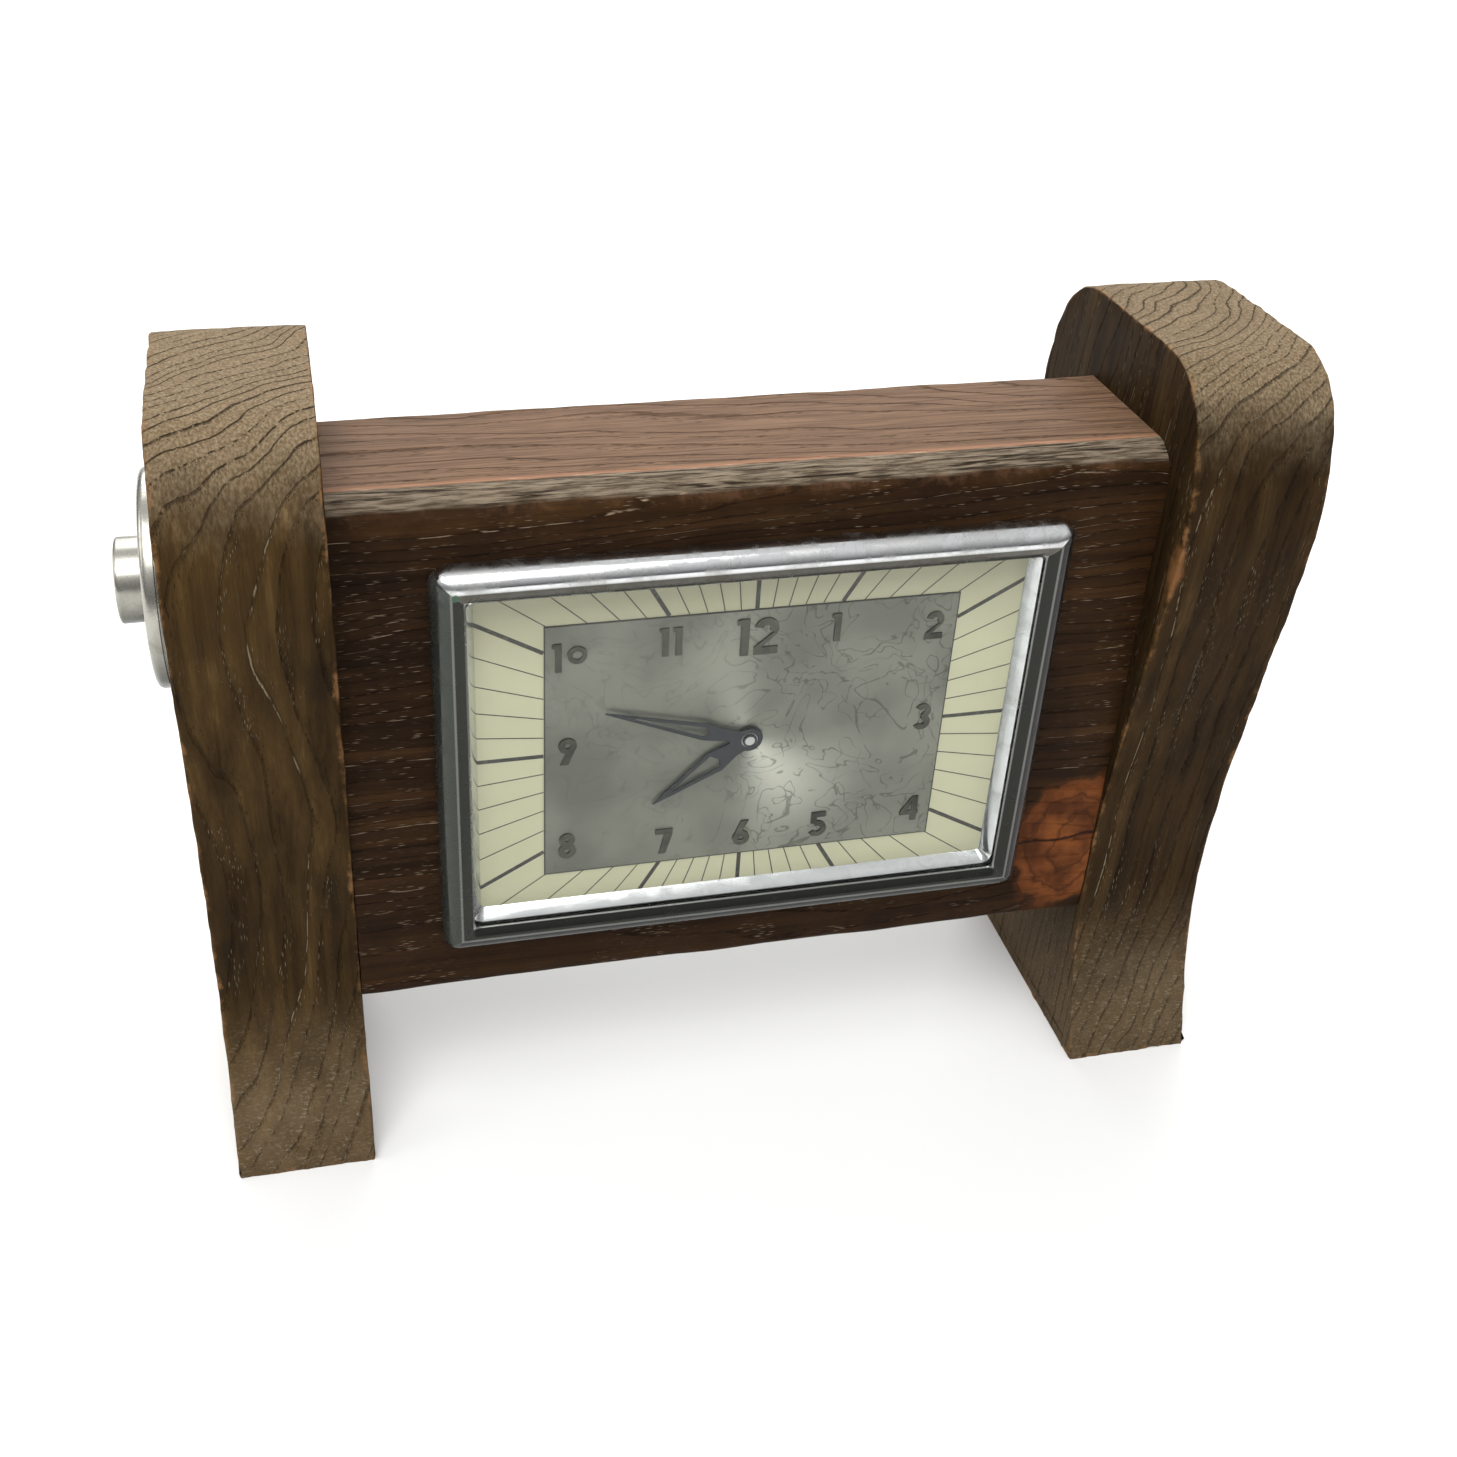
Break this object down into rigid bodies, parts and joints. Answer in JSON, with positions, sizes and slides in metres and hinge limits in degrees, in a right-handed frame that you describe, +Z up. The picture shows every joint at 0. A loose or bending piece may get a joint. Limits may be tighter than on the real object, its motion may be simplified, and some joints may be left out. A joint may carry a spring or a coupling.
{
  "type": "mantel clock",
  "caption": "Mantel clock: a wooden body between two waisted side slabs, with a rectangular chrome-framed dial, skeleton hands and a spring movement wound from the back.",
  "frame": {"origin": "on the floor, under the middle of the case (bottom centre of the bounding box)", "axes": "+Z up, the dial faces -Y, +X to the right of someone facing the dial"},
  "size_m": [0.289, 0.085, 0.206],
  "materials": {
    "slab_wood": "dark stained open-pored wood, rubbed satin, worn at the edges",
    "body_wood": "red-brown stained open-pored wood, satin",
    "dowel_wood": "plain beech",
    "bezel_chrome": "polished plating, clouded with age",
    "glass": "clear flat glass",
    "dial_cream": "cream paint with printed minute lines",
    "dial_silver": "silvered satin, stained",
    "numeral_metal": "stamped, dull",
    "hand_blue": "dark blue-grey",
    "nickel": "satin nickel plating",
    "cover_metal": "plated sheet with fine circular brushing",
    "brass": "lacquered brass",
    "steel": "polished steel"
  },
  "bodies": {
    "case": {"slab_left": "slab_wood", "slab_right": "slab_wood", "body_block": "body_wood", "dowels": "dowel_wood", "side_studs": "steel", "stud_inserts": "brass", "rosette_left": "nickel", "rosette_right": "nickel", "cap_nut_left": "nickel", "cap_nut_right": "nickel", "bezel": "bezel_chrome", "glass": "glass", "sight_ring": "bezel_chrome", "dial_plate": "dial_cream", "dial_centre": "dial_silver", "numerals": "numeral_metal", "dial_clips": "brass", "drum": "nickel", "back_cover": "cover_metal", "cover_screws": "steel", "tie_screws": "steel", "front_plate": "brass", "back_plate": "brass", "pillars": "brass", "plate_screws": "steel", "dial_feet": "brass", "click_screw": "steel", "click_spring": "steel", "hairspring": "hand_blue", "balance_cap": "brass", "minute_post": "steel"},
    "minute_set": {"minute_hand": "hand_blue", "cannon_pinion": "steel", "hand_nut": "hand_blue"},
    "hour_set": {"hour_hand": "hand_blue", "hour_wheel": "brass"},
    "motion_wheel": {"minute_wheel": "brass"},
    "setting_set": {"set_arbor": "steel", "set_knob": "nickel"},
    "winding_set": {"barrel_arbor": "steel", "ratchet_wheel": "steel", "winding_key": "nickel"},
    "click_lever": {"click": "steel"},
    "barrel_set": {"barrel": "brass", "barrel_cover": "brass", "mainspring": "steel"},
    "centre_set": {"centre_wheel": "brass"},
    "third_set": {"third_wheel": "brass"},
    "fourth_set": {"fourth_wheel": "brass"},
    "escape_set": {"escape_wheel": "steel"},
    "pallet_set": {"pallet_lever": "steel"},
    "balance_set": {"balance_wheel": "brass"},
    "rate_lever": {"regulator": "steel"}
  },
  "joints": [
    {"name": "minute_turn", "type": "hinge", "parent": "case", "child": "minute_set", "pos_m": [-0.001, -0.028, 0.1155], "axis": [0, 1, 0], "continuous": true},
    {"name": "hour_turn", "type": "hinge", "parent": "case", "child": "hour_set", "pos_m": [-0.001, -0.028, 0.1155], "axis": [0, 1, 0], "continuous": true},
    {"name": "motion_turn", "type": "hinge", "parent": "case", "child": "motion_wheel", "pos_m": [0.005, -0.024, 0.10511], "axis": [0, 1, 0], "continuous": true},
    {"name": "setting_turn", "type": "hinge", "parent": "case", "child": "setting_set", "pos_m": [0.01829, 0.015, 0.10276], "axis": [0, 1, 0], "continuous": true},
    {"name": "winding_turn", "type": "hinge", "parent": "case", "child": "winding_set", "pos_m": [-0.0182, 0.015, 0.10346], "axis": [0, 1, 0], "range_deg": [0, 1980]},
    {"name": "click_lift", "type": "hinge", "parent": "case", "child": "click_lever", "pos_m": [-0.01479, 0.0046, 0.11621], "axis": [0, 1, 0], "range_deg": [0, 15], "stiffness_Nm_per_rad": 0.00005, "springref_deg": -11.46},
    {"name": "fourth_turn", "type": "hinge", "parent": "case", "child": "fourth_set", "pos_m": [0.00488, -0.009, 0.12954], "axis": [0, 1, 0], "continuous": true},
    {"name": "third_turn", "type": "hinge", "parent": "case", "child": "third_set", "pos_m": [0.01253, -0.009, 0.12043], "axis": [0, 1, 0], "continuous": true},
    {"name": "centre_turn", "type": "hinge", "parent": "case", "child": "centre_set", "pos_m": [-0.001, -0.009, 0.1155], "axis": [0, 1, 0], "continuous": true},
    {"name": "barrel_turn", "type": "hinge", "parent": "case", "child": "barrel_set", "pos_m": [-0.0182, -0.009, 0.10346], "axis": [0, 1, 0], "continuous": true},
    {"name": "escape_turn", "type": "hinge", "parent": "case", "child": "escape_set", "pos_m": [-0.00527, -0.009, 0.13323], "axis": [0, 1, 0], "continuous": true},
    {"name": "pallet_rock", "type": "hinge", "parent": "case", "child": "pallet_set", "pos_m": [-0.01407, -0.0096, 0.13323], "axis": [0, 1, 0], "range_deg": [-6, 6]},
    {"name": "balance_swing", "type": "hinge", "parent": "case", "child": "balance_set", "pos_m": [-0.02307, -0.006, 0.13323], "axis": [0, 1, 0], "range_deg": [-270, 270], "stiffness_Nm_per_rad": 0.000004},
    {"name": "rate_shift", "type": "hinge", "parent": "case", "child": "rate_lever", "pos_m": [-0.02307, 0.0043, 0.13323], "axis": [0, 1, 0], "range_deg": [-25, 25]}
  ],
  "couplings": [
    {"joint": "hour_turn", "follows": "minute_turn", "ratio": 0.083333},
    {"joint": "motion_turn", "follows": "minute_turn", "ratio": -0.33333},
    {"joint": "setting_turn", "follows": "minute_turn", "ratio": 0.66667},
    {"joint": "third_turn", "follows": "fourth_turn", "ratio": -0.13333},
    {"joint": "centre_turn", "follows": "fourth_turn", "ratio": 0.016667},
    {"joint": "barrel_turn", "follows": "fourth_turn", "ratio": -0.0027778},
    {"joint": "escape_turn", "follows": "fourth_turn", "ratio": -8}
  ]
}
